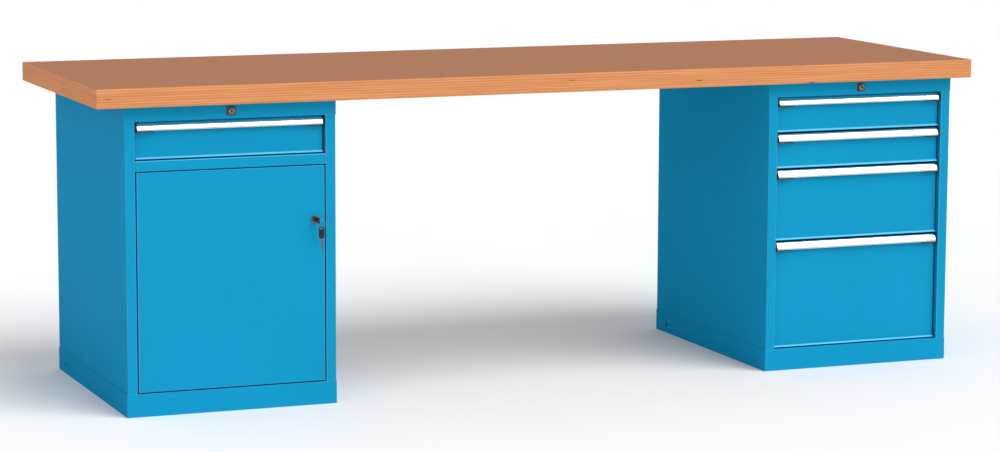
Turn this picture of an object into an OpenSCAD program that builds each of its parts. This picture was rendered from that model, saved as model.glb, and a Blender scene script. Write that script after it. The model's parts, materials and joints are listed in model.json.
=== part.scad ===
// Workbench with two sheet-steel pedestals under one beech multiplex worktop.
// Row frame: origin on the floor under the middle of the worktop, +X to the right,
// -Y to the front, +Z up. Every solid is drawn where it stands, closed and unlocked.

/* [Worktop] */
// Length of the worktop
top_len = 2500; // [2300:10:2900]
// Depth of the worktop
top_depth = 800; // [790:5:900]
// Thickness of the worktop
top_thick = 50; // [40:1:60]
// Chamfer that eases the worktop's edges
top_chamfer = 1.2; // [0.5:0.1:3]

/* [Cabinets] */
// Width of each cabinet
cab_w = 564; // [540:1:620]
// Depth of each cabinet
cab_d = 725; // [715:1:760]
// Height of each cabinet
cab_h = 800; // [790:1:820]
// Overhang of the worktop past the left cabinet
over_left = 80; // [40:1:120]
// Overhang of the worktop past the right cabinet
over_right = 44; // [30:1:120]
// Thickness of the cabinet's sheet steel
sheet = 1.5; // [1.2:0.1:1.8]
// Width of the front stiles
stile_w = 28; // [27:0.5:30]
// Depth of the front stiles
stile_d = 25; // [22:0.5:28]
// Height of the base skirt
base_h = 60; // [55:1:65]
// Height of the top rail
rail_h = 40; // [38:1:42]

/* [Drawers] */
// Height of a low drawer slot
low_slot = 100; // [96:1:104]
// Height of the middle-sized drawer slot
mid_slot = 200; // [190:1:205]
// How far the drawer fronts stand behind the stiles
front_recess = 15; // [14.5:0.5:17]
// Gap on each side of a drawer front
front_gap = 3.5; // [3:0.5:4]
// Outer width of a drawer tub
tub_w = 472; // [470:0.5:472]
// Length of a drawer tub
tub_len = 660; // [600:5:665]
// Wall thickness of a drawer tub
tub_wall = 1.2; // [0.8:0.1:1.5]
// Height that a tub is lower than its slot
tub_drop = 25; // [24:1:30]

/* [Handles] */
// Height of a handle strip
grip_h = 21; // [18:0.5:22]
// How far a handle's lower edge stands out
grip_out = 12.5; // [11:0.5:13]
// Thickness of the handle's aluminium
grip_t = 2; // [1.6:0.1:2.4]
// Width of a plastic end cap
cap_w = 4.5; // [4:0.5:6]
// Length of the tail under the strip at each end cap
tail_len = 48; // [30:1:60]

/* [Door and locks] */
// Height of the rail between the drawer and the door
mid_rail_h = 27; // [25:1:35]
// Gap round the door
door_gap = 3; // [2.5:0.25:3.25]
// Depth of the door's folded edge
door_t = 20; // [18:0.5:21]
// Radius of the door's hinge pins
hinge_r = 2.5; // [2:0.25:2.75]
// Height of the door lock above the floor
lock_z = 489; // [300:1:520]
// Radius of a lock plug
plug_r = 6; // [5:0.25:6.5]
// Radial clearance of pins and plugs in their bores
running = 0.05; // [0.02:0.01:0.08]

/* [Hidden] */

// Cabinet planes
half_w = cab_w / 2;
front = -cab_d / 2;
back = cab_d / 2;
left_x = -top_len / 2 + over_left + half_w;
right_x = top_len / 2 - over_right - half_w;
side_face = half_w - sheet;
open_half = half_w - stile_w;
rail_z = cab_h - rail_h;
stile_back = front + stile_d;
skirt_h = 33;

// Drawer slots: [cabinet middle, lowest z, height]
LEFT = [left_x, rail_z - low_slot, low_slot];
RIGHT_1 = [right_x, rail_z - low_slot, low_slot];
RIGHT_2 = [right_x, rail_z - 2 * low_slot, low_slot];
RIGHT_3 = [right_x, rail_z - 2 * low_slot - mid_slot, mid_slot];
RIGHT_4 = [right_x, base_h, rail_z - 2 * low_slot - mid_slot - base_h];
RIGHT_DRAWERS = [RIGHT_1, RIGHT_2, RIGHT_3, RIGHT_4];

// Drawer planes
face_y = front + front_recess;
tub_front = face_y + sheet;
tub_back = tub_front + tub_len;
tub_half = tub_w / 2;
front_half = open_half - front_gap;
front_fold = 12;

// Telescopic runners: three nested channels, from the tub out to the side panel
rail_up = 45;
drawer_rail_h = 28;
middle_rail_h = 32;
fixed_rail_h = 36;
drawer_rail_w = 14.5;
middle_rail_w = 12.5;
fixed_rail_w = 13.5;
middle_rail_x = open_half - 0.5;
fixed_rail_x = open_half + 3;
fixed_rail_front = stile_back + 5;
fixed_rail_back = back - 36;
middle_rail_back = fixed_rail_back - 20;

// Handle strip: an arc between its upper and its lower edge, both measured from
// the drawer's face and from the strip's top
grip_top_gap = 2.5;
grip_sag = 2.5;
grip_a = [-sheet, 0];
grip_b = [-sheet - grip_out, -grip_h];
grip_chord = norm(grip_b - grip_a);
grip_dir = (grip_b - grip_a) / grip_chord;
grip_normal = [grip_dir[1], -grip_dir[0]];
grip_r = grip_chord * grip_chord / (8 * grip_sag) + grip_sag / 2;
grip_centre = (grip_a + grip_b) / 2 - grip_normal * (grip_r - grip_sag);
strip_half = open_half - 2.5;

// Rail locks
lock_up = cab_h - 20;
plate_side = 24;
plate_t = 2.5;
barrel_r = 7.5;
barrel_len = 24;
cam_len = 29;
lift = 12;
bar_y = back - 22.5;
bar_t = 2;
bar_half = 9;
catch_up = 50;
catch_h = 8;
hook_h = 8;
hook_t = 2;
hook_up = catch_up + catch_h + lift + hook_t + 1;
rod_r = 4;

// Door
door_half = open_half - door_gap;
door_low = base_h + door_gap;
door_top = rail_z - low_slot - mid_rail_h - door_gap;
hinge_x = left_x - door_half + 5;
hinge_y = front + 5.5;
bush_r = 3.6;
bush_hole_r = bush_r + running;
door_lock_x = left_x + door_half - 26.5;
door_cam_y = stile_back + 2;

// Keys: the ring hangs askew from the bow, so that the lock can turn within it
bow_hole_y = front - 30;
ring_r = 11.5;
ring_wire_r = 0.7;
ring_tilt = 38;
ring_x = door_lock_x + ring_r * sin(ring_tilt);
ring_z = lock_z - ring_r * cos(ring_tilt);
spare_z = ring_z - ring_r;

// A box between two opposite corners
module block(low, high) {
    translate(low) cube(high - low);
}

// A round bar along Y, from its near end to its far end
module bar_y_axis(x, z, r, y_near, y_far) {
    translate([x, y_near, z]) rotate([-90, 0, 0]) cylinder(r = r, h = y_far - y_near);
}

// A profile in the Y-Z plane drawn out along X between two places
module along_x(x_low, x_high) {
    translate([x_low, 0, 0])
        rotate([90, 0, 90]) linear_extrude(x_high - x_low) children();
}

// Both hands of a shape about a cabinet's middle plane
module both_sides(x_mid) {
    translate([x_mid, 0, 0]) {
        children();
        mirror([1, 0, 0]) children();
    }
}

// ---- Worktop ----

// The outline of a plate's edge, with eased corners
module eased_rectangle(w, h, c) {
    polygon([
        [c, 0], [w - c, 0], [w, c], [w, h - c],
        [w - c, h], [c, h], [0, h - c], [0, c],
    ]);
}

function screw_places() = [
    for (x_mid = [left_x, right_x], sx = [-1, 1], sy = [-1, 1])
        [x_mid + sx * 200, sy * 290]
];

screw_r = 3;
screw_bite = 30;
module worktop() {
    color("burlywood") difference() {
        translate([-top_len / 2, -top_depth / 2, cab_h]) intersection() {
            linear_extrude(top_thick) eased_rectangle(top_len, top_depth, top_chamfer);
            along_x(0, top_len) eased_rectangle(top_depth, top_thick, top_chamfer);
            translate([0, top_depth, 0]) rotate([90, 0, 0])
                linear_extrude(top_depth) eased_rectangle(top_len, top_thick, top_chamfer);
        }
        for (p = screw_places())
            translate([p[0], p[1], cab_h - 1])
                cylinder(r = screw_r + running, h = screw_bite + 3);
    }
}

module worktop_screws() {
    head_r = 6.5;
    head_h = 4;
    color("silver") for (p = screw_places())
        translate([p[0], p[1], cab_h - sheet]) {
            cylinder(r = screw_r, h = screw_bite);
            translate([0, 0, -head_h]) cylinder(r = head_r, h = head_h, $fn = 6);
        }
}

// ---- Cabinet shell ----

// Side panel with its front stile folded on
module cabinet_side(x_mid, hand) {
    stile_lip = 14;
    color("deepskyblue") translate([x_mid, 0, 0]) mirror([hand < 0 ? 1 : 0, 0, 0]) {
        block([side_face - sheet, front + sheet, base_h],
              [side_face, back - sheet, cab_h - sheet]);
        block([open_half, front, base_h], [side_face, front + sheet, rail_z]);
        block([open_half, front, base_h], [open_half + sheet, stile_back, rail_z]);
        block([open_half, stile_back - sheet, base_h],
              [open_half + stile_lip, stile_back, rail_z]);
    }
}

// Back panel with a welding flange down each edge; the right one guides the lock bar
guide_h = 20;
guide_places = [250, 520];
module cabinet_back(x_mid, has_guides) {
    flange = 16;
    edge = side_face - sheet;
    near = bar_y - 1.5;
    color("deepskyblue") {
        if (has_guides) for (z = guide_places) {
            both_sides(x_mid)
                block([bar_half + 0.6, near - sheet, z],
                      [bar_half + 0.6 + sheet, back - 2 * sheet + 0.5, z + guide_h]);
            block([x_mid - bar_half - 1, near - sheet, z],
                  [x_mid + bar_half + 1, near, z + guide_h]);
        }
        block([x_mid - edge, back - 2 * sheet, base_h],
              [x_mid + edge, back - sheet, cab_h - sheet]);
        both_sides(x_mid)
            block([edge - sheet, back - sheet - flange, base_h],
                  [edge, back - sheet, cab_h - sheet]);
    }
}

// Top cover with its skirts; the front skirt is the lock rail, and the right cover
// has a plate that carries the back end of the lock rod
module cabinet_top(x_mid, has_bearing) {
    lip = 20;
    bearing_y = bar_y - 18;
    color("deepskyblue") difference() {
        union() {
            block([x_mid - half_w, front, cab_h - sheet], [x_mid + half_w, back, cab_h]);
            block([x_mid - half_w, front, rail_z], [x_mid + half_w, front + sheet, cab_h]);
            block([x_mid - side_face + sheet, front, rail_z],
                  [x_mid + side_face - sheet, front + lip, rail_z + sheet]);
            block([x_mid - half_w, back - sheet, cab_h - skirt_h],
                  [x_mid + half_w, back, cab_h]);
            both_sides(x_mid)
                block([side_face, front, cab_h - skirt_h], [half_w, back, cab_h]);
            if (has_bearing)
                block([x_mid - 12, bearing_y, lock_up - 12],
                      [x_mid + 12, bearing_y + 2, cab_h - sheet + 0.5]);
        }
        if (has_bearing)
            bar_y_axis(x_mid, lock_up, rod_r + running, bearing_y - 1, bearing_y + 3);
        bar_y_axis(x_mid, lock_up, barrel_r + running, front - 1, front + sheet + 1);
        for (p = screw_places())
            translate([p[0], p[1], cab_h - 10]) cylinder(r = screw_r + 0.3, h = 20);
    }
}

// The left floor and skirt have a hole for the bush of the door's lower pin
module bush_hole(z) {
    translate([hinge_x, hinge_y, z]) cylinder(r = bush_hole_r, h = 10, center = true);
}

module cabinet_floor(x_mid, has_door) {
    color("deepskyblue") difference() {
        block([x_mid - side_face, front + sheet, base_h - sheet],
              [x_mid + side_face, back - sheet, base_h]);
        if (has_door) bush_hole(base_h);
    }
}

// Base skirt: four walls with a foot flange and a flange that carries the floor,
// and a fixing hole through each side near the back
fixing_r = 5;
fixing_y = back - 72;
fixing_z = 24;
module cabinet_plinth(x_mid, has_door) {
    flange = 18;
    low = [x_mid - half_w, front, 0];
    wide = cab_w - 2 * sheet;
    deep = cab_d - 2 * sheet;
    color("deepskyblue") difference() {
        translate(low) cube([cab_w, cab_d, base_h]);
        translate(low + [sheet, sheet, base_h - sheet]) cube([wide, deep, 2 * sheet]);
        translate(low + [sheet, sheet, sheet])
            cube([wide, deep, base_h - 3 * sheet]);
        translate(low + [flange, flange, -1])
            cube([cab_w - 2 * flange, cab_d - 2 * flange, base_h + 2]);
        for (x = [x_mid - half_w - 1, x_mid + half_w - sheet - 1])
            translate([x, fixing_y, fixing_z]) rotate([0, 90, 0])
                cylinder(r = fixing_r, h = sheet + 2);
        if (has_door) bush_hole(base_h);
    }
}

// ---- Left cabinet fittings ----

// The rail under the drawer and the dust plate behind it, folded from one sheet
module left_cabinet_divider() {
    z_top = rail_z - low_slot;
    z_low = z_top - mid_rail_h;
    lip = 20;
    color("deepskyblue") {
        block([left_x - open_half, front, z_low], [left_x + open_half, front + sheet, z_top]);
        difference() {
            block([left_x - open_half, front, z_low],
                  [left_x + open_half, front + lip, z_low + sheet]);
            bush_hole(z_low);
        }
        block([left_x - open_half, front, z_top - sheet],
              [left_x + open_half, stile_back + 1, z_top]);
        block([left_x - side_face + sheet, stile_back + 1, z_top - sheet],
              [left_x + side_face - sheet, back - 20, z_top]);
    }
}

shelf_z = 335;
shelf_edge = 25;
shelf_half = side_face - sheet - 4;
shelf_front = front + 65;
shelf_back = back - 15;
module left_cabinet_shelf() {
    color("deepskyblue") {
        block([left_x - shelf_half, shelf_front, shelf_z - sheet],
              [left_x + shelf_half, shelf_back, shelf_z]);
        for (y = [shelf_front, shelf_back - sheet])
            block([left_x - shelf_half, y, shelf_z - shelf_edge],
                  [left_x + shelf_half, y + sheet, shelf_z]);
    }
}

module left_shelf_clips() {
    color("silver") both_sides(left_x) for (y = [shelf_front + 50, shelf_back - 70]) {
        block([side_face - sheet - 12, y, shelf_z - 2 * sheet],
              [side_face - sheet, y + 20, shelf_z - sheet]);
        block([side_face - 2 * sheet, y, shelf_z - 20],
              [side_face - sheet, y + 20, shelf_z - sheet]);
    }
}

// ---- Runners ----

// A channel along Y that opens towards the cabinet's middle: its web is outermost
module channel_in(web_out, width, height, z_mid, y_near, y_far) {
    z_low = z_mid - height / 2;
    z_high = z_mid + height / 2;
    block([web_out - sheet, y_near, z_low], [web_out, y_far, z_high]);
    block([web_out - width, y_near, z_low], [web_out, y_far, z_low + sheet]);
    block([web_out - width, y_near, z_high - sheet], [web_out, y_far, z_high]);
}

// The pair of cabinet rails for one drawer, each on three spacers
module fixed_rails(d) {
    z_mid = d[1] + rail_up;
    spacer = 30;
    run = fixed_rail_back - fixed_rail_front - spacer;
    both_sides(d[0]) {
        channel_in(fixed_rail_x, fixed_rail_w, fixed_rail_h, z_mid,
                   fixed_rail_front, fixed_rail_back);
        for (i = [0:2])
            translate([0, fixed_rail_front + i * run / 2, 0])
                block([fixed_rail_x - 0.5, 0, z_mid - 10],
                      [side_face - sheet, spacer, z_mid + 10]);
    }
}

module left_fixed_rails() {
    color("silver") fixed_rails(LEFT);
}

module right_fixed_rails() {
    color("silver") for (d = RIGHT_DRAWERS) fixed_rails(d);
}

// The pair of middle rails, which travel half as far as their drawer
module drawer_middle_rails(d) {
    color("silver") both_sides(d[0])
        channel_in(middle_rail_x, middle_rail_w, middle_rail_h, d[1] + rail_up,
                   fixed_rail_front, middle_rail_back);
}

// ---- Drawers ----

// Tub with a rail welded along each side; a locked drawer also has a rear catch
module drawer_tub(d, has_catch) {
    x = d[0];
    z_low = d[1] + 10;
    z_top = z_low + d[2] - tub_drop;
    z_mid = d[1] + rail_up;
    rim = 6;
    color("lightsteelblue") {
        difference() {
            block([x - tub_half, tub_front, z_low], [x + tub_half, tub_back, z_top]);
            block([x - tub_half + tub_wall, tub_front + tub_wall, z_low + tub_wall],
                  [x + tub_half - tub_wall, tub_back - tub_wall, z_top + 1]);
        }
        both_sides(x) {
            block([tub_half - tub_wall, tub_front, z_top - tub_wall],
                  [tub_half + rim, tub_back, z_top]);
            translate([2 * tub_half + drawer_rail_w, 0, 0]) mirror([1, 0, 0])
                channel_in(tub_half + drawer_rail_w, drawer_rail_w + 0.3, drawer_rail_h,
                           z_mid, face_y + front_fold + 1, tub_back);
        }
    }
    if (has_catch)
        color("gainsboro") rear_catch(x, d[1] + catch_up);
}

// Stepped bracket on the tub's back, whose lip the lock bar's hook drops in front of
module rear_catch(x, low) {
    near = tub_back + running;
    far = tub_back + 16;
    foot_h = 14;
    block([x - 15, near, low - foot_h], [x + 15, near + sheet, low + sheet]);
    block([x - 15, near, low], [x + 15, far, low + sheet]);
    block([x - 15, far - sheet, low], [x + 15, far, low + catch_h]);
}

// Front panel: a folded sheet whose lower edge slopes forward as a lip
module drawer_front(d, has_catch) {
    x = d[0];
    low = d[1] + 2.5;
    top = d[1] + d[2] - grip_top_gap - sheet;
    lip_out = 7;
    lip_h = 8;
    color("deepskyblue") {
        along_x(x - front_half, x + front_half) polygon([
            [face_y, top], [face_y, low + lip_h], [face_y - lip_out, low],
            [face_y + front_fold, low], [face_y + front_fold, low + sheet],
            [face_y - lip_out + 3.2, low + sheet], [face_y + sheet, low + lip_h - 0.6],
            [face_y + sheet, top - sheet], [face_y + front_fold, top - sheet],
            [face_y + front_fold, top],
        ]);
        both_sides(x)
            block([front_half - sheet, face_y, low], [front_half, face_y + front_fold, top]);
        if (has_catch) {
            catch_low = d[1] + d[2] - 13;
            catch_back = face_y + 22;
            block([x - 15, tub_front - 0.5, catch_low],
                  [x + 15, catch_back, catch_low + sheet]);
            block([x - 15, catch_back - sheet, catch_low],
                  [x + 15, catch_back, top]);
        }
    }
}

// The strip's outer face, as a filled shape behind the arc
module grip_body() {
    intersection() {
        translate(grip_centre) circle(r = grip_r);
        translate([grip_b[0], grip_b[1]]) square([grip_out, grip_h]);
    }
}

// Handle section: the arc, a web on the drawer's face and a leg over its top
module grip_section() {
    web_h = 17;
    leg = 10;
    difference() {
        grip_body();
        translate(grip_centre) circle(r = grip_r - grip_t);
    }
    translate([-sheet, -web_h]) square([sheet, web_h]);
    translate([-sheet, -sheet]) square([sheet + leg, sheet]);
}

module drawer_handle(d) {
    z = d[1] + d[2] - grip_top_gap;
    color("white") translate([0, face_y, z])
        along_x(d[0] - strip_half + cap_w, d[0] + strip_half - cap_w) grip_section();
}

// End caps close the strip, and each has a tail that runs under its lower edge
module drawer_end_caps(d) {
    z = d[1] + d[2] - grip_top_gap;
    tail_h = 3.5;
    color("dimgray") both_sides(d[0]) translate([0, face_y, z]) {
        along_x(strip_half - cap_w, strip_half) {
            grip_body();
            translate([-sheet, -grip_h]) square([sheet, grip_h]);
            translate([grip_b[0], grip_b[1] - tail_h]) square([grip_out, tail_h + 0.5]);
        }
        along_x(strip_half - tail_len, strip_half - cap_w + 0.5)
            translate([grip_b[0], grip_b[1] - tail_h]) square([6, tail_h]);
    }
}

// ---- Rail locks ----

// A square with round corners
module round_square(side, r) {
    edge = side / 2 - r;
    square([side, 2 * edge], center = true);
    square([2 * edge, side], center = true);
    for (sx = [-1, 1], sy = [-1, 1]) translate([sx * edge, sy * edge]) circle(r = r);
}

// Plug with its key slot, from the face of the barrel to the barrel's end
module lock_plug(x, z, face, length) {
    slot_w = 2.4;
    slot_h = 6.8;
    slot_deep = 27.2;
    difference() {
        bar_y_axis(x, z, plug_r, face, face + length);
        block([x - slot_w / 2, face - 1, z - slot_h / 2],
              [x + slot_w / 2, face + slot_deep, z + slot_h / 2]);
    }
}

module rail_lock_housing(x) {
    nose = 4;
    color("silver") difference() {
        union() {
            translate([x, front, lock_up]) rotate([90, 0, 0])
                linear_extrude(plate_t) round_square(plate_side, 4);
            bar_y_axis(x, lock_up, barrel_r, front - plate_t - nose, front + barrel_len);
        }
        bar_y_axis(x, lock_up, plug_r + running, front - 20, front + barrel_len + 1);
    }
}

plug_face = front - plate_t - 3.5;
plug_len = barrel_len + plate_t + 3.5 + 1;
module rail_lock_plug(x) {
    lock_plug(x, lock_up, plug_face, plug_len);
}

// The left plug carries the cam that drops behind the drawer's catch
module left_lock_cylinder() {
    cam_y = front + barrel_len + 1;
    color("silver") {
        rail_lock_plug(left_x);
        bar_y_axis(left_x, lock_up, plug_r, cam_y - 0.5, cam_y + 5);
        block([left_x, cam_y + 3, lock_up - 5], [left_x + cam_len, cam_y + 5, lock_up + 5]);
    }
}

module right_lock_cylinder() {
    color("silver") rail_lock_plug(right_x);
}

// Rod from the plug to the back, with a crank pin that moves the lock bar
crank_pin_r = 2.5;
module right_lock_rod() {
    rod_front = plug_face + plug_len;
    crank_y = bar_y - 6;
    color("silver") {
        bar_y_axis(right_x, lock_up, rod_r, rod_front, crank_y + 3);
        block([right_x, crank_y, lock_up - 4], [right_x + lift, crank_y + 3, lock_up + 4]);
        bar_y_axis(right_x + lift, lock_up, crank_pin_r, crank_y, bar_y + 4);
    }
}

// Lock bar: a flat strip with a hook above each drawer's rear catch
module right_lock_bar() {
    slot_w = 30;
    slot_h = 12;
    head_half = 24;
    hook_reach = 20;
    color("silver") difference() {
        union() {
            block([right_x - bar_half, bar_y, RIGHT_4[1] + hook_up - 20],
                  [right_x + bar_half, bar_y + bar_t, cab_h - 8]);
            block([right_x - head_half, bar_y, lock_up - 11],
                  [right_x + head_half, bar_y + bar_t, cab_h - 8]);
            for (d = RIGHT_DRAWERS) {
                z = d[1] + hook_up;
                block([right_x - bar_half, bar_y - hook_reach, z - hook_t],
                      [right_x + bar_half, bar_y + 1, z]);
                block([right_x - bar_half, bar_y - hook_reach, z - hook_h],
                      [right_x + bar_half, bar_y - hook_reach + hook_t, z]);
            }
        }
        translate([right_x + lift / 2, bar_y + 1, lock_up])
            cube([slot_w, 10, slot_h], center = true);
    }
}

// ---- Door ----

lock_barrel_r = 9;
door_bore_r = lock_barrel_r + 0.1;
module door_outer_skin() {
    x_low = left_x - door_half;
    x_high = left_x + door_half;
    color("deepskyblue") difference() {
        block([x_low, front, door_low], [x_high, front + door_t, door_top]);
        block([x_low + sheet, front + sheet, door_low + sheet],
              [x_high - sheet, front + door_t + 1, door_top - sheet]);
        bar_y_axis(door_lock_x, lock_z, door_bore_r, front - 1, front + 5);
        for (z = [door_low - 1, door_top - sheet - 1])
            translate([hinge_x, hinge_y, z]) cylinder(r = hinge_r + running, h = sheet + 2);
    }
}

// Inner panel that closes the door's folded edge
module door_inner_skin() {
    inset = sheet + 0.5;
    color("deepskyblue") difference() {
        block([left_x - door_half + inset, front + door_t - 3 * sheet, door_low + inset],
              [left_x + door_half - inset, front + door_t - 2 * sheet, door_top - inset]);
        bar_y_axis(door_lock_x, lock_z, door_bore_r, front, front + door_t);
    }
}

// Pivot pins at the top and the bottom of the door's hinge edge
pin_in = 14;
pin_out = door_gap + 2.5;
module door_hinge_pins() {
    color("silver") {
        translate([hinge_x, hinge_y, door_low - pin_out])
            cylinder(r = hinge_r, h = pin_in + pin_out);
        translate([hinge_x, hinge_y, door_top - pin_in])
            cylinder(r = hinge_r, h = pin_in + pin_out);
    }
}

// Flanged bushes for the pins, one through the cabinet's floor and skirt, one through
// the lip of its middle rail
module door_hinge_bushes() {
    flange_r = 4.6;
    flange_t = 1;
    below = 5;
    color("dimgray") difference() {
        for (end = [[base_h, 1], [door_top + door_gap, -1]])
            translate([hinge_x, hinge_y, end[0]]) mirror([0, 0, end[1] < 0 ? 1 : 0]) {
                cylinder(r = flange_r, h = flange_t);
                translate([0, 0, -below]) cylinder(r = bush_r, h = below + flange_t);
            }
        translate([hinge_x, hinge_y, base_h - below - 1])
            cylinder(r = hinge_r + running, h = door_top - base_h + 2 * below + 10);
    }
}

module door_lock_housing() {
    collar_r = 11;
    collar_t = 3;
    color("silver") difference() {
        union() {
            bar_y_axis(door_lock_x, lock_z, collar_r, front - collar_t, front);
            bar_y_axis(door_lock_x, lock_z, lock_barrel_r, front - collar_t, stile_back);
        }
        bar_y_axis(door_lock_x, lock_z, plug_r + running, front - 10, stile_back + 1);
    }
}

door_plug_face = front - 2.6;
square_half = 3;
module door_lock_cylinder() {
    color("silver") {
        lock_plug(door_lock_x, lock_z, door_plug_face, stile_back - door_plug_face + 0.3);
        block([door_lock_x - square_half, stile_back, lock_z - square_half],
              [door_lock_x + square_half, stile_back + 6, lock_z + square_half]);
    }
}

// Tongue behind the stile; at rest it points down and the door is free
module door_lock_cam() {
    tongue = 38;
    half = 7;
    cam_t = 2;
    color("silver") difference() {
        union() {
            bar_y_axis(door_lock_x, lock_z, half, door_cam_y, door_cam_y + cam_t);
            block([door_lock_x - half, door_cam_y, lock_z - tongue],
                  [door_lock_x + half, door_cam_y + cam_t, lock_z]);
        }
        block([door_lock_x - square_half, door_cam_y - 1, lock_z - square_half],
              [door_lock_x + square_half, door_cam_y + cam_t + 1, lock_z + square_half]);
    }
}

// A key along +Y: bow with a hole at the origin, shoulder, and a toothed blade
module key_shape() {
    bow_len = 31;
    bow_w = 15;
    bow_t = 2;
    bow_r = 5;
    bow_hole_r = 3.3;
    blade_len = 28;
    blade_t = 2;
    blade_h = 6;
    tooth = 1.2;
    difference() {
        union() {
            translate([0, bow_len / 2 - bow_r, 0]) rotate([0, -90, 0])
                linear_extrude(bow_t, center = true) {
                    square([bow_w, bow_len - 2 * bow_r], center = true);
                    square([bow_w - 2 * bow_r, bow_len], center = true);
                    for (sx = [-1, 1], sy = [-1, 1])
                        translate([sx * (bow_w / 2 - bow_r), sy * (bow_len / 2 - bow_r)])
                            circle(r = bow_r);
                }
            translate([-blade_t / 2, bow_len - bow_r - 1, -blade_h / 2])
                cube([blade_t, blade_len + 1, blade_h]);
        }
        translate([-5, 0, 0]) rotate([0, 90, 0]) cylinder(r = bow_hole_r, h = 10);
        for (i = [0:4])
            translate([-5, bow_len - bow_r + 8 + 3.6 * i, blade_h / 2 - tooth])
                rotate([45, 0, 0]) cube([10, 2, 2]);
    }
}

module lock_key() {
    color("dimgray") translate([door_lock_x, bow_hole_y, lock_z]) key_shape();
}

module key_ring() {
    color("silver")
        translate([ring_x, bow_hole_y, ring_z])
            rotate([90, 0, 0]) rotate_extrude() translate([ring_r, 0]) circle(r = ring_wire_r);
}

// The spare key hangs blade down, turned half way towards the front
module spare_key() {
    color("dimgray") translate([ring_x, bow_hole_y, spare_z])
        rotate([0, 0, 45]) rotate([-90, 0, 0]) key_shape();
}

worktop();
worktop_screws();
cabinet_side(left_x, -1);  // left_cabinet_outer_side
cabinet_side(left_x, 1);  // left_cabinet_inner_side
cabinet_back(left_x, false);  // left_cabinet_back
cabinet_top(left_x, false);  // left_cabinet_top
cabinet_floor(left_x, true);  // left_cabinet_floor
cabinet_plinth(left_x, true);  // left_cabinet_plinth
left_cabinet_divider();
left_cabinet_shelf();
left_shelf_clips();
left_fixed_rails();
rail_lock_housing(left_x);  // left_lock_housing
left_lock_cylinder();
cabinet_side(right_x, 1);  // right_cabinet_outer_side
cabinet_side(right_x, -1);  // right_cabinet_inner_side
cabinet_back(right_x, true);  // right_cabinet_back
cabinet_top(right_x, true);  // right_cabinet_top
cabinet_floor(right_x, false);  // right_cabinet_floor
cabinet_plinth(right_x, false);  // right_cabinet_plinth
right_fixed_rails();
rail_lock_housing(right_x);  // right_lock_housing
right_lock_cylinder();
right_lock_rod();
right_lock_bar();
drawer_tub(LEFT, false);  // left_drawer_tub
drawer_front(LEFT, true);  // left_drawer_front
drawer_handle(LEFT);  // left_drawer_handle
drawer_end_caps(LEFT);  // left_drawer_end_caps
drawer_middle_rails(LEFT);  // left_drawer_middle_rails
drawer_tub(RIGHT_1, true);  // right_drawer_1_tub
drawer_front(RIGHT_1, false);  // right_drawer_1_front
drawer_handle(RIGHT_1);  // right_drawer_1_handle
drawer_end_caps(RIGHT_1);  // right_drawer_1_end_caps
drawer_middle_rails(RIGHT_1);  // right_drawer_1_middle_rails
drawer_tub(RIGHT_2, true);  // right_drawer_2_tub
drawer_front(RIGHT_2, false);  // right_drawer_2_front
drawer_handle(RIGHT_2);  // right_drawer_2_handle
drawer_end_caps(RIGHT_2);  // right_drawer_2_end_caps
drawer_middle_rails(RIGHT_2);  // right_drawer_2_middle_rails
drawer_tub(RIGHT_3, true);  // right_drawer_3_tub
drawer_front(RIGHT_3, false);  // right_drawer_3_front
drawer_handle(RIGHT_3);  // right_drawer_3_handle
drawer_end_caps(RIGHT_3);  // right_drawer_3_end_caps
drawer_middle_rails(RIGHT_3);  // right_drawer_3_middle_rails
drawer_tub(RIGHT_4, true);  // right_drawer_4_tub
drawer_front(RIGHT_4, false);  // right_drawer_4_front
drawer_handle(RIGHT_4);  // right_drawer_4_handle
drawer_end_caps(RIGHT_4);  // right_drawer_4_end_caps
drawer_middle_rails(RIGHT_4);  // right_drawer_4_middle_rails
door_outer_skin();
door_inner_skin();
door_hinge_pins();
door_hinge_bushes();
door_lock_housing();
door_lock_cylinder();
door_lock_cam();
lock_key();
key_ring();
spare_key();
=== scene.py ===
"""Looks of the workbench with drawers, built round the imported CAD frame.

Units are metres, in the frame's own axes: +X to the right, -Y to the front, +Z up.
"""

import json
import math

import bmesh
import bpy
from mathutils import Matrix, Vector
from mathutils.bvhtree import BVHTree


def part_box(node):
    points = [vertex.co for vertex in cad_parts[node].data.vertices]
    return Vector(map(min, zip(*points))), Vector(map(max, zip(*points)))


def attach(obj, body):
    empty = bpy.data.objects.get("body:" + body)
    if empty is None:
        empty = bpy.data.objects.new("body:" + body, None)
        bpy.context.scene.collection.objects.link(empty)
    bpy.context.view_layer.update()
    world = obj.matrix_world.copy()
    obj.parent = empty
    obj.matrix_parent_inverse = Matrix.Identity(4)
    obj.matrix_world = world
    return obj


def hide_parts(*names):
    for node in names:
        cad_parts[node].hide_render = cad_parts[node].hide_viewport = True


MM = 0.001

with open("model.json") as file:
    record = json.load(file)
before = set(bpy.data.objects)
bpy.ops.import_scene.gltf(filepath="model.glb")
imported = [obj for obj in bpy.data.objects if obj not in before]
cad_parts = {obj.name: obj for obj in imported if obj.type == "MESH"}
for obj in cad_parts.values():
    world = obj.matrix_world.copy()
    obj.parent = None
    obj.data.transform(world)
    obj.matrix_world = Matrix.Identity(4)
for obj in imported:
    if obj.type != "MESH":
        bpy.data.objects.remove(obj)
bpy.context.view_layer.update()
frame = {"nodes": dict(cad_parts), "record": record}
nodes = frame["nodes"]
scene = bpy.context.scene
scene.view_settings.view_transform = "Standard"


# ---- Camera ----

# Angles are in degrees, and the lens and the sensor in millimetres
CAMERA_PLACE = (-3.225, -8.091, 1.6445)
CAMERA_YAW = 21.71
CAMERA_PITCH = -8.2
CAMERA_ROLL = 0.21
CAMERA_LENS = 114.0
SENSOR_WIDTH = 36


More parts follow.
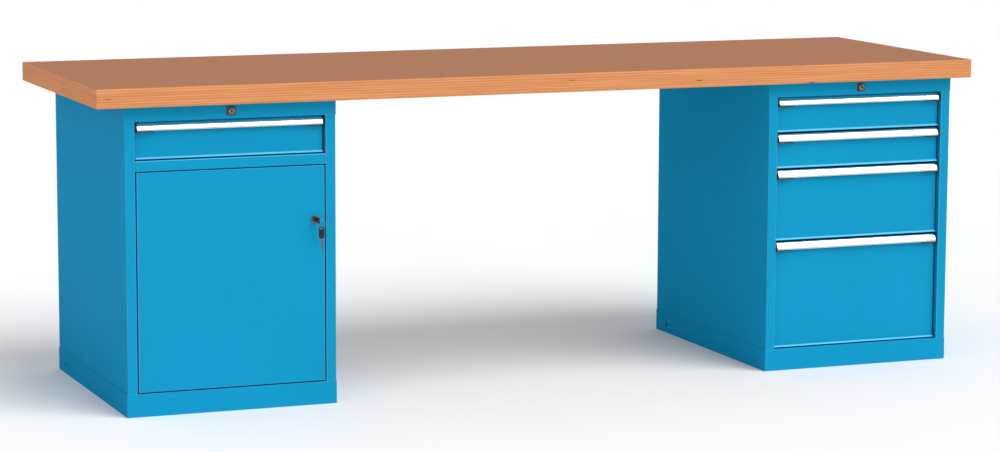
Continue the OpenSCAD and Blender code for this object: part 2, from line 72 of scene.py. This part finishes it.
def make_camera():
    yaw, pitch, roll = (math.radians(a) for a in (CAMERA_YAW, CAMERA_PITCH, CAMERA_ROLL))
    ahead = Vector((math.sin(yaw) * math.cos(pitch), math.cos(yaw) * math.cos(pitch),
                    math.sin(pitch)))
    level = Vector((math.cos(yaw), -math.sin(yaw), 0))
    upright = level.cross(ahead)
    right = math.cos(roll) * level + math.sin(roll) * upright
    up = -math.sin(roll) * level + math.cos(roll) * upright
    turn = Matrix((right, up, -ahead)).transposed()
    data = bpy.data.cameras.new("camera")
    data.lens = CAMERA_LENS
    data.sensor_width = SENSOR_WIDTH
    data.dof.use_dof = False
    camera = bpy.data.objects.new("camera", data)
    camera.matrix_world = Matrix.Translation(CAMERA_PLACE) @ turn.to_4x4()
    scene.collection.objects.link(camera)
    scene.camera = camera


make_camera()


# ---- Materials ----

# The range that holds nearly all of a noise's values
NOISE_RANGE = (0.3, 0.7)


class Shader:
    """A new material's node tree, with short calls for the nodes used here."""

    def __init__(self, name, metallic=0.0, roughness=0.5):
        self.material = bpy.data.materials.new(name)
        self.material.use_nodes = True
        self.tree = self.material.node_tree
        self.surface = self.tree.nodes["Principled BSDF"]
        self.set("Metallic", metallic)
        self.set("Roughness", roughness)
        places = self.node("ShaderNodeTexCoord").outputs
        self.place = places["Object"]
        self.normal = places["Normal"]
        self.bumped = None

    def node(self, kind, **settings):
        made = self.tree.nodes.new(kind)
        for key, value in settings.items():
            setattr(made, key, value)
        return made

    def link(self, source, target):
        if isinstance(source, (int, float)):
            target.default_value = source
        else:
            self.tree.links.new(source, target)

    def set(self, name, value):
        """Gives the surface one of its values: a number, a colour or another node's output."""
        target = self.surface.inputs[name]
        if isinstance(value, tuple):
            target.default_value = (*value, 1)
        else:
            self.link(value, target)

    def pattern(self, kind, per_metre):
        """A pattern node, scaled alike on all axes, or by a number for each axis."""
        made = self.node(kind)
        if isinstance(per_metre, tuple):
            mapping = self.node("ShaderNodeMapping")
            mapping.inputs["Scale"].default_value = per_metre
            self.link(self.place, mapping.inputs["Vector"])
            self.link(mapping.outputs["Vector"], made.inputs["Vector"])
            per_metre = 1
        else:
            self.link(self.place, made.inputs["Vector"])
        made.inputs["Scale"].default_value = per_metre
        return made

    def noise(self, per_metre, detail=2, rough=0.5, distortion=0):
        made = self.pattern("ShaderNodeTexNoise", per_metre)
        made.inputs["Detail"].default_value = detail
        made.inputs["Roughness"].default_value = rough
        made.inputs["Distortion"].default_value = distortion
        return made.outputs["Fac"]

    def cells(self, per_metre, output="Distance"):
        return self.pattern("ShaderNodeTexVoronoi", per_metre).outputs[output]

    def math(self, operation, a, b=0):
        made = self.node("ShaderNodeMath", operation=operation)
        self.link(a, made.inputs[0])
        self.link(b, made.inputs[1])
        return made.outputs[0]

    def remap(self, value, low, high, to_low=0, to_high=1):
        made = self.node("ShaderNodeMapRange")
        self.link(value, made.inputs["Value"])
        for key, number in (("From Min", low), ("From Max", high),
                            ("To Min", to_low), ("To Max", to_high)):
            made.inputs[key].default_value = number
        return made.outputs["Result"]

    def spread(self, noise, to_low=0, to_high=1):
        """A noise spread over a range of values."""
        return self.remap(noise, *NOISE_RANGE, to_low, to_high)

    def mix(self, factor, a, b, blend="MIX"):
        """Two colours mixed; each is a colour or a socket."""
        made = self.node("ShaderNodeMix", data_type="RGBA", blend_type=blend)
        self.link(factor, made.inputs[0])
        for value, socket in ((a, made.inputs[6]), (b, made.inputs[7])):
            if isinstance(value, tuple):
                socket.default_value = (*value, 1)
            else:
                self.link(value, socket)
        return made.outputs[2]

    def split(self, vector):
        made = self.node("ShaderNodeSeparateXYZ")
        self.link(vector, made.inputs[0])
        return made.outputs

    def off_axis(self, start, full):
        """0 on faces square to the axes and 1 on rounded edges, where the normal leans."""
        leans = [self.math("ABSOLUTE", part) for part in self.split(self.normal)]
        main = self.math("MAXIMUM", self.math("MAXIMUM", leans[0], leans[1]), leans[2])
        return self.remap(main, 1 - full, 1 - start, 1, 0)

    def bump(self, height, distance, strength):
        """Adds a bump on top of the bumps made before it; distance is in metres."""
        made = self.node("ShaderNodeBump")
        made.inputs["Strength"].default_value = strength
        made.inputs["Distance"].default_value = distance
        self.link(height, made.inputs["Height"])
        if self.bumped is not None:
            self.link(self.bumped, made.inputs["Normal"])
        self.bumped = made.outputs["Normal"]
        self.set("Normal", self.bumped)


def powder_coat(name, light, deep, painted_fold_highlight):
    """Semi-gloss powder coat: orange-peel skin, cloudy in tone, with a painted highlight that
    makes it paler on the folds.
    """
    s = Shader(name, metallic=0.3)
    tone = s.mix(s.spread(s.noise(2.3, 3, 0.55)), deep, light)
    speck = s.remap(s.noise(420, 2, 0.6), 0.35, 0.65, 0, 0.06)
    tone = s.mix(speck, tone, (1, 1, 1), "SOFT_LIGHT")
    # Painted highlight: rounded edges take the lighter fold tone, standing in for light caught on
    # the folds
    s.set("Base Color", s.mix(s.off_axis(0.02, 0.12), tone, painted_fold_highlight))
    s.set("Roughness", s.remap(s.noise(11, 4, 0.6), 0.3, 0.75, 0.40, 0.46))
    s.bump(s.noise(650, 1.5, 0.4), 0.05 * MM, 0.5)
    s.bump(s.noise(60, 2, 0.5), 0.10 * MM, 0.2)
    s.set("Specular IOR Level", 0.004)
    s.set("Specular Tint", (0.02, 0.35, 0.6))
    return s.material


# Tones of beech, as linear colours
FACE_DARK, FACE_LIGHT = (0.345, 0.147, 0.071), (0.400, 0.180, 0.091)
FACE_BAND = (0.375, 0.155, 0.074)
FACE_FLECK = (0.25, 0.105, 0.05)
LONG_PLY_DARK, LONG_PLY_LIGHT = (0.61, 0.255, 0.100), (0.73, 0.345, 0.155)
CROSS_PLY_DARK, CROSS_PLY_LIGHT = (0.44, 0.155, 0.055), (0.60, 0.235, 0.095)
RUDDY_PLY = (0.66, 0.25, 0.095)
RED_STREAK = (0.52, 0.19, 0.075)
GLUE = (0.30, 0.11, 0.045)
KNOT = (0.13, 0.05, 0.022)

PLIES = 15
# How far the plies wander up and down along an edge
PLY_WAVE = 2.2 * MM
# The worktop's normal is this upright on its faces, and less on its edges
UPRIGHT = 0.8


def beech_face(s, streak, fleck):
    """Long faint streaks, fine flecks and slow changes of tone."""
    band = s.noise((0.7, 9, 9), 3, 0.5, 0.4)
    face = s.mix(s.spread(streak), FACE_DARK, FACE_LIGHT)
    face = s.mix(s.remap(band, 0.35, 0.65, 0, 0.6), face, FACE_BAND)
    return s.mix(s.remap(fleck, 0.6, 0.72, 0, 0.35), face, FACE_FLECK)


def beech_edge(s, bottom, ply):
    """Light long-grain plies and redder cross plies, with thin glue lines and a few knots."""
    wave = s.math("MULTIPLY", s.noise((3.5, 3.5, 1), 3, 0.55), PLY_WAVE)
    height = s.math("ADD", s.math("SUBTRACT", s.split(s.place)[2], bottom), wave)
    level = s.math("DIVIDE", height, ply)
    layer = s.math("FLOOR", level)
    tone = s.node("ShaderNodeTexWhiteNoise", noise_dimensions="1D")
    s.link(layer, tone.inputs["W"])
    long_ply = s.mix(s.spread(s.noise((9, 9, 520), 4, 0.6)), LONG_PLY_DARK, LONG_PLY_LIGHT)
    cross_ply = s.mix(s.spread(s.noise((420, 420, 600), 3, 0.6)), CROSS_PLY_DARK, CROSS_PLY_LIGHT)
    presence = s.remap(s.noise((6, 6, 130), 3, 0.6), 0.3, 0.65, 0.25, 1)
    crossed = s.math("MULTIPLY", s.math("MODULO", layer, 2), presence)
    edge = s.mix(crossed, long_ply, cross_ply)
    edge = s.mix(s.math("MULTIPLY", tone.outputs["Value"], 0.35), edge, RUDDY_PLY)
    off_middle = s.math("ABSOLUTE", s.math("SUBTRACT", s.math("FRACT", level), 0.5))
    seam = s.math("MULTIPLY", s.remap(off_middle, 0.42, 0.48, 0, 0.5), presence)
    edge = s.mix(seam, edge, GLUE)
    streak = s.noise((2.1, 2.1, 60), 3, 0.6, 0.3)
    edge = s.mix(s.remap(streak, 0.45, 0.7, 0, 0.55), edge, RED_STREAK)
    return s.mix(s.remap(s.cells((7, 7, 45)), 0.04, 0.10, 0.85, 0), edge, KNOT)


def beech_multiplex():
    """Beech plies: long grain on the faces, stacked plies on the edges."""
    s = Shader("beech")
    low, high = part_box("worktop")
    streak = s.noise((2.2, 85, 85), 5, 0.6, 0.15)
    fleck = s.noise((70, 620, 620), 2, 0.5)
    upright = s.math("ABSOLUTE", s.split(s.normal)[2])
    s.set("Base Color", s.mix(s.math("GREATER_THAN", upright, UPRIGHT),
                              beech_edge(s, low.z, (high.z - low.z) / PLIES),
                              beech_face(s, streak, fleck)))
    s.set("Roughness", s.spread(streak, 0.48, 0.62))
    s.bump(streak, 0.10 * MM, 0.3)
    s.bump(fleck, 0.05 * MM, 0.4)
    s.set("Specular IOR Level", 0.03)
    return s.material


def brushed_aluminium():
    """Satin anodised extrusion, with drawing lines along X."""
    s = Shader("aluminium", metallic=1)
    line = s.noise((3, 1800, 1800), 3, 0.6)
    s.set("Base Color", s.mix(s.spread(line), (0.88, 0.89, 0.90), (0.96, 0.965, 0.97)))
    s.set("Roughness", s.math("ADD", s.spread(line, 0.13, 0.20), s.spread(s.noise(9), 0, 0.05)))
    s.bump(line, 0.02 * MM, 0.5)
    return s.material


def zinc_plate():
    """Bright zinc with faint crystal patches and fine rubbing."""
    s = Shader("zinc_steel", metallic=1)
    rub = s.noise((500, 12, 500), 3, 0.6)
    rubbed = s.mix(s.spread(rub), (0.50, 0.51, 0.52), (0.68, 0.69, 0.70))
    s.set("Base Color", s.mix(0.18, rubbed, s.cells(240, "Color"), "SOFT_LIGHT"))
    s.set("Roughness", s.spread(rub, 0.28, 0.44))
    s.bump(rub, 0.02 * MM, 0.5)
    return s.material


def plated_metal(name, dark, light, smoothest, roughest):
    """Plated or turned metal with hairline wear."""
    s = Shader(name, metallic=1)
    wear = s.noise(900, 3, 0.65)
    s.set("Base Color", s.mix(s.spread(s.noise(120)), dark, light))
    s.set("Roughness", s.spread(wear, smoothest, roughest))
    s.bump(wear, 0.01 * MM, 0.6)
    return s.material


def moulded_plastic(name, new, worn):
    """Plastic with a fine spark-eroded grain, a little lighter where it is handled."""
    s = Shader(name)
    grain = s.cells(1500)
    s.set("Base Color", s.mix(s.remap(s.noise(60, 3), 0.35, 0.75), new, worn))
    s.set("Roughness", s.remap(grain, 0, 0.6, 0.42, 0.6))
    s.bump(grain, 0.04 * MM, 0.35)
    s.set("Specular IOR Level", 0.35)
    return s.material


finishes = {"beech": beech_multiplex(), "aluminium": brushed_aluminium(),
            "zinc_steel": zinc_plate()}
# Each coat's light and deep tones, and its painted highlight tone on the folds
for name, *tones in (
        ("blue_paint", (0.008, 0.300, 0.530), (0.008, 0.280, 0.500), (0.095, 0.400, 0.620)),
        ("grey_paint", (0.50, 0.52, 0.53), (0.46, 0.48, 0.49), (0.56, 0.58, 0.59))):
    finishes[name] = powder_coat(name, *tones)
# Each metal's dark and light tones, and its smoothest and roughest spots
for name, *looks in (
        ("lock_steel", (0.17, 0.15, 0.135), (0.27, 0.24, 0.22), 0.25, 0.40),
        # The key blades' nickel gets these dark tones as painted shade
        ("shaded_key_steel", (0.13, 0.125, 0.12), (0.22, 0.21, 0.20), 0.25, 0.40),
        ("nickel", (0.40, 0.36, 0.32), (0.56, 0.52, 0.47), 0.22, 0.38),
        ("rosette", (0.07, 0.063, 0.058), (0.12, 0.108, 0.10), 0.30, 0.45),
        ("chrome", (0.50, 0.50, 0.52), (0.66, 0.66, 0.68), 0.08, 0.20)):
    finishes[name] = plated_metal(name, *looks)
# Each plastic's new and worn tones
for name, *tones in (
        ("black_plastic", (0.010, 0.010, 0.012), (0.024, 0.024, 0.027)),
        ("key_black", (0.012, 0.010, 0.011), (0.040, 0.026, 0.026))):
    finishes[name] = moulded_plastic(name, *tones)


# ---- Finished copies of the CAD nodes ----

WELD = 0.002 * MM
SAME_PLANE = math.radians(0.5)
SHARP = math.radians(35)
SMOOTH_BELOW = math.radians(50)
# A solid thinner than this is a sheet, whose rim is rounded by a share of its thickness
THIN = 4 * MM
RIM_SHARE = 0.3
RIM_ROUND = 0.35 * MM
# The share of a neighbouring edge that a rounding may take
NEIGHBOUR_SHARE = 0.45
# Edges that run on at less than this turn don't limit each other's rounding
RUNS_ON = math.radians(30)
WIDEST = 2.5 * MM
PROBE_STEP = 0.01 * MM
BEVEL_SEGMENTS = 3

# The outer radius of a fold, or of a solid corner, in each finish
fold_radius = {
    "beech": 0.9 * MM, "blue_paint": 2.5 * MM, "grey_paint": 2.0 * MM, "zinc_steel": 0.6 * MM,
    "lock_steel": 0.3 * MM, "chrome": 0.7 * MM, "shaded_key_steel": 0.3 * MM, "aluminium": 0.4 * MM,
    "black_plastic": 0.7 * MM, "key_black": 0.6 * MM, "nickel": 0.3 * MM,
}
# The base skirts' rims lie flush on the panels, with tighter edges than the folds
fold_of = {"left_cabinet_plinth": 0.4 * MM, "right_cabinet_plinth": 0.4 * MM}

body_of_node = {}
for body, members in frame["record"]["behaviour"]["bodies"].items():
    for member in members:
        body_of_node[member] = body
slot_of_node = {row["node"]: row["material_slot"] for row in frame["record"]["subparts"]}


def clean_copy(node):
    """A CAD node's shape as a bmesh of whole flat faces."""
    work = bmesh.new()
    work.from_mesh(nodes[node].data)
    bmesh.ops.remove_doubles(work, verts=work.verts, dist=WELD)
    bmesh.ops.dissolve_limit(work, angle_limit=SAME_PLANE, verts=work.verts, edges=work.edges)
    bmesh.ops.recalc_face_normals(work, faces=work.faces)
    return work


def into_faces(edge):
    """Across each face beside an edge, the direction that leaves the edge."""
    found = []
    for loop in edge.link_loops:
        along = (loop.link_loop_next.vert.co - loop.vert.co).normalized()
        found.append(loop.face.normal.cross(along))
    return found


def material_depth(edge, tree):
    """How far the solid goes on under the faces beside an edge."""
    across = into_faces(edge)
    start = (edge.verts[0].co + edge.verts[1].co) / 2 + sum(across, Vector()) * PROBE_STEP
    depths = [tree.ray_cast(start, way)[3] for way in across]
    return min([d for d in depths if d is not None], default=0)


def room_at_ends(edge):
    """The widest rounding that the edges next to this one leave room for."""
    room = WIDEST
    beside = set(edge.link_faces)
    for end in edge.verts:
        along = (edge.other_vert(end).co - end.co).normalized()
        for other in end.link_edges:
            if other is edge or not beside & set(other.link_faces):
                continue
            away = other.other_vert(end).co - end.co
            if away.normalized().dot(along) > -math.cos(RUNS_ON):
                room = min(room, NEIGHBOUR_SHARE * away.cross(along).length)
    return room


def mark_edges(work, radius):
    """Gives each sharp outer edge the width of its rounding, as a share of the widest."""
    weight = work.edges.layers.float.new("bevel_weight_edge")
    tree = BVHTree.FromBMesh(work)
    for edge in work.edges:
        if len(edge.link_faces) != 2 or not edge.is_convex or edge.calc_face_angle() < SHARP:
            continue
        depth = material_depth(edge, tree)
        width = min(RIM_ROUND, RIM_SHARE * depth) if depth < THIN else radius
        edge[weight] = min(width, room_at_ends(edge)) / WIDEST


def finished_piece(name, work, finish, node):
    """Turns a bmesh into a piece with rounded edges and smooth shading, riding on its body."""
    mark_edges(work, fold_of.get(node, fold_radius[finish]))
    rough = bpy.data.meshes.new(name)
    work.to_mesh(rough)
    work.free()
    piece = bpy.data.objects.new(name, rough)
    scene.collection.objects.link(piece)
    bevel = piece.modifiers.new("round", "BEVEL")
    bevel.limit_method = "WEIGHT"
    bevel.width = WIDEST
    bevel.segments = BEVEL_SEGMENTS
    bevel.use_clamp_overlap = False
    graph = bpy.context.evaluated_depsgraph_get()
    piece.data = bpy.data.meshes.new_from_object(piece.evaluated_get(graph))
    piece.data.name = name
    piece.modifiers.clear()
    bpy.data.meshes.remove(rough)
    dress(piece, finish, node)


def dress(piece, finish, node):
    """Smooths a piece's shading, gives it its finish, and puts it in its node's place."""
    piece.data.shade_smooth()
    piece.data.set_sharp_from_angle(angle=SMOOTH_BELOW)
    piece.data.materials.clear()
    piece.data.materials.append(finishes[finish])
    normals = piece.modifiers.new("normals", "WEIGHTED_NORMAL")
    normals.keep_sharp = True
    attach(piece, body_of_node[node])
    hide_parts(node)


# ---- Locks ----

PLATE_THICK = 2.5 * MM
PLATE_CORNER = 4 * MM
# Radii of the barrel and of the bore for the lock's plug
BARREL = 7.5 * MM
PLUG_BORE = 6.05 * MM
# Points in each ring
TURNS = 64

# Sections of the rail locks, ring by ring, in mm. The plate's rim: how far behind its face and
# within its outline. The dish round the barrel: behind the face and outside the barrel. The
# barrel's nose: behind its tip and within its outline.
PLATE_RIM = ((1, 0), (0.55, 0.1), (0.2, 0.4), (0, 0.9))
PLATE_DISH = ((0, 2.4), (0.35, 2), (0.5, 1.2), (0.5, 0))
BARREL_NOSE = ((1, 0), (0.45, 0.12), (0.15, 0.45), (0, 0.85))
BARREL_CHAMFER = 0.4 * MM
BORE_CHAMFER = 0.25 * MM


def rings_to_piece(name, rings, finish, node):
    """Joins rings of points, each to the next and the last to the first, as one closed skin."""
    work = bmesh.new()
    made = [[work.verts.new(point) for point in ring] for ring in rings]
    for ring, following in zip(made, made[1:] + made[:1]):
        for i in range(len(ring)):
            j = (i + 1) % len(ring)
            work.faces.new((ring[i], ring[j], following[j], following[i]))
    bmesh.ops.recalc_face_normals(work, faces=work.faces)
    mesh = bpy.data.meshes.new(name)
    work.to_mesh(mesh)
    work.free()
    piece = bpy.data.objects.new(name, mesh)
    scene.collection.objects.link(piece)
    dress(piece, finish, node)


def rounded_square(half, corner, angle):
    """The distance to a rounded square's outline in one direction from its middle."""
    c, s = sorted((abs(math.cos(angle)), abs(math.sin(angle))), reverse=True)
    straight = half / c
    inner = half - corner
    if straight * s <= inner:
        return straight
    reach = (c + s) * inner
    return reach + math.sqrt(reach * reach - 2 * inner * inner + corner * corner)


def ring_about(centre, y, distance_at):
    """Points round a line along Y, at a distance that depends on the angle."""
    turn = [2 * math.pi * i / TURNS for i in range(TURNS)]
    return [(centre.x + distance_at(a) * math.cos(a), y, centre.z + distance_at(a) * math.sin(a))
            for a in turn]


def rail_lock(node):
    """A rail lock's black rosette and the plated barrel that stands through it."""
    low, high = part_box(node)
    centre = (low + high) / 2
    half = (high.x - low.x) / 2
    rail_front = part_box(node.replace("lock_housing", "cabinet_top"))[0].y
    face = rail_front - PLATE_THICK

    def outline(inset):
        return lambda angle: rounded_square(half - inset, PLATE_CORNER - inset, angle)

    def circle(radius):
        return lambda angle: radius

    plate = [(rail_front, outline(0))]
    plate += [(face + back * MM, outline(inset * MM)) for back, inset in PLATE_RIM]
    plate += [(face + back * MM, circle(BARREL + out * MM)) for back, out in PLATE_DISH]
    plate.append((rail_front, circle(BARREL)))
    rings_to_piece(node + ".rosette", [ring_about(centre, y, r) for y, r in plate],
                   "rosette", node)
    barrel = [(high.y, PLUG_BORE), (high.y, BARREL - BARREL_CHAMFER),
              (high.y - BARREL_CHAMFER, BARREL)]
    barrel += [(low.y + back * MM, BARREL - inset * MM) for back, inset in BARREL_NOSE]
    barrel += [(low.y, PLUG_BORE + BORE_CHAMFER), (low.y + BORE_CHAMFER, PLUG_BORE)]
    rings_to_piece(node + ".barrel", [ring_about(centre, y, circle(r)) for y, r in barrel],
                   "nickel", node)


# ---- Keys ----

# The bow's length, the end of the web round its ring hole, and on each side the rim round the
# sunk panel and the step down into it
BOW_LONG = 31 * MM
PANEL_FROM = 10.5 * MM
PANEL_RIM = 1.5 * MM
PANEL_STEP = 0.1 * MM
PANEL_DEEP = 0.3 * MM
# How nearly square to a key's flat way its broad faces are
BROAD = 0.9


def cut_across(work, place, way, **clear):
    """Cuts a bmesh by a plane, and gives back the edges of the cut."""
    cut = bmesh.ops.bisect_plane(work, geom=work.verts[:] + work.edges[:] + work.faces[:],
                                 plane_co=place, plane_no=way, **clear)
    return [item for item in cut["geom_cut"] if isinstance(item, bmesh.types.BMEdge)]


def key_part(node, bow_end, along, **clear):
    """One end of a key's shape, closed where it is cut from the other."""
    work = clean_copy(node)
    rim = cut_across(work, bow_end + along * BOW_LONG, along, **clear)
    bmesh.ops.contextual_create(work, geom=rim)
    bmesh.ops.recalc_face_normals(work, faces=work.faces)
    return work


def key(node, bow_end, along, flat_way):
    """A key as two pieces: a moulded bow with a sunk panel on each side, and a steel blade."""
    bow = key_part(node, bow_end, along, clear_outer=True)
    panel_start = bow_end + along * PANEL_FROM
    cut_across(bow, panel_start, along)
    panels = [face for face in bow.faces if abs(face.normal.dot(flat_way)) > BROAD
              and (face.calc_center_median() - panel_start).dot(along) > 0]
    for width, depth in ((PANEL_RIM, 0), (PANEL_STEP, PANEL_DEEP)):
        bmesh.ops.inset_region(bow, faces=panels, thickness=width, depth=-depth,
                               use_even_offset=True, use_boundary=True)
    finished_piece(node + ".bow", bow, "key_black", node)
    finished_piece(node + ".blade", key_part(node, bow_end, along, clear_inner=True),
                   "shaded_key_steel", node)


# ---- All pieces ----

# Nodes that look unlike the rest of their slot, and nodes that are built in detail
finish_of = {"key_ring": "lock_steel", "door_hinge_pins": "lock_steel",
             "door_lock_housing": "lock_steel"}
detailed = {"left_lock_housing", "right_lock_housing", "lock_key", "spare_key"}

for node, slot_name in slot_of_node.items():
    if node not in detailed:
        finished_piece(node + ".finished", clean_copy(node), finish_of.get(node, slot_name), node)
rail_lock("left_lock_housing")
rail_lock("right_lock_housing")
key("lock_key", bow_end=Vector((0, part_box("lock_key")[0].y, 0)), along=Vector((0, 1, 0)),
    flat_way=Vector((1, 0, 0)))
key("spare_key", bow_end=Vector((0, 0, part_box("spare_key")[1].z)), along=Vector((0, 0, -1)),
    flat_way=Vector((1, 1, 0)).normalized())


# ---- Stage ----

# Half the floor's width, far enough that no view meets its edge
FLOOR_REACH = 40


def make_floor():
    mesh = bpy.data.meshes.new("floor")
    corners = [(x * FLOOR_REACH, y * FLOOR_REACH, 0)
               for x, y in ((-1, -1), (1, -1), (1, 1), (-1, 1))]
    mesh.from_pydata(corners, [], [(0, 1, 2, 3)])
    floor = bpy.data.objects.new("floor", mesh)
    scene.collection.objects.link(floor)
    s = Shader("floor", roughness=0.8)
    s.set("Base Color", s.mix(s.noise(1.5, 3), (0.88, 0.88, 0.88), (0.91, 0.91, 0.91)))
    s.set("Specular IOR Level", 0.1)
    mesh.materials.append(s.material)


def make_sun(name, toward, spread, strength):
    """A soft light that comes from one direction, spread over an angle in degrees."""
    data = bpy.data.lights.new(name, "SUN")
    data.angle = math.radians(spread)
    data.energy = strength
    light = bpy.data.objects.new(name, data)
    light.rotation_euler = (-Vector(toward)).to_track_quat("-Z", "Y").to_euler()
    scene.collection.objects.link(light)


def make_world(color, strength):
    """An even sky."""
    world = bpy.data.worlds.new("studio")
    world.use_nodes = True
    sky = world.node_tree.nodes["Background"]
    sky.inputs["Color"].default_value = (*color, 1)
    sky.inputs["Strength"].default_value = strength
    scene.world = world


make_floor()
make_world(color=(0.97, 0.985, 1.0), strength=0.6)
make_sun("key", toward=(0.366, -0.563, 0.741), spread=50, strength=2.2)
make_sun("fill", toward=(-0.72, -0.65, 0.20), spread=60, strength=0.45)
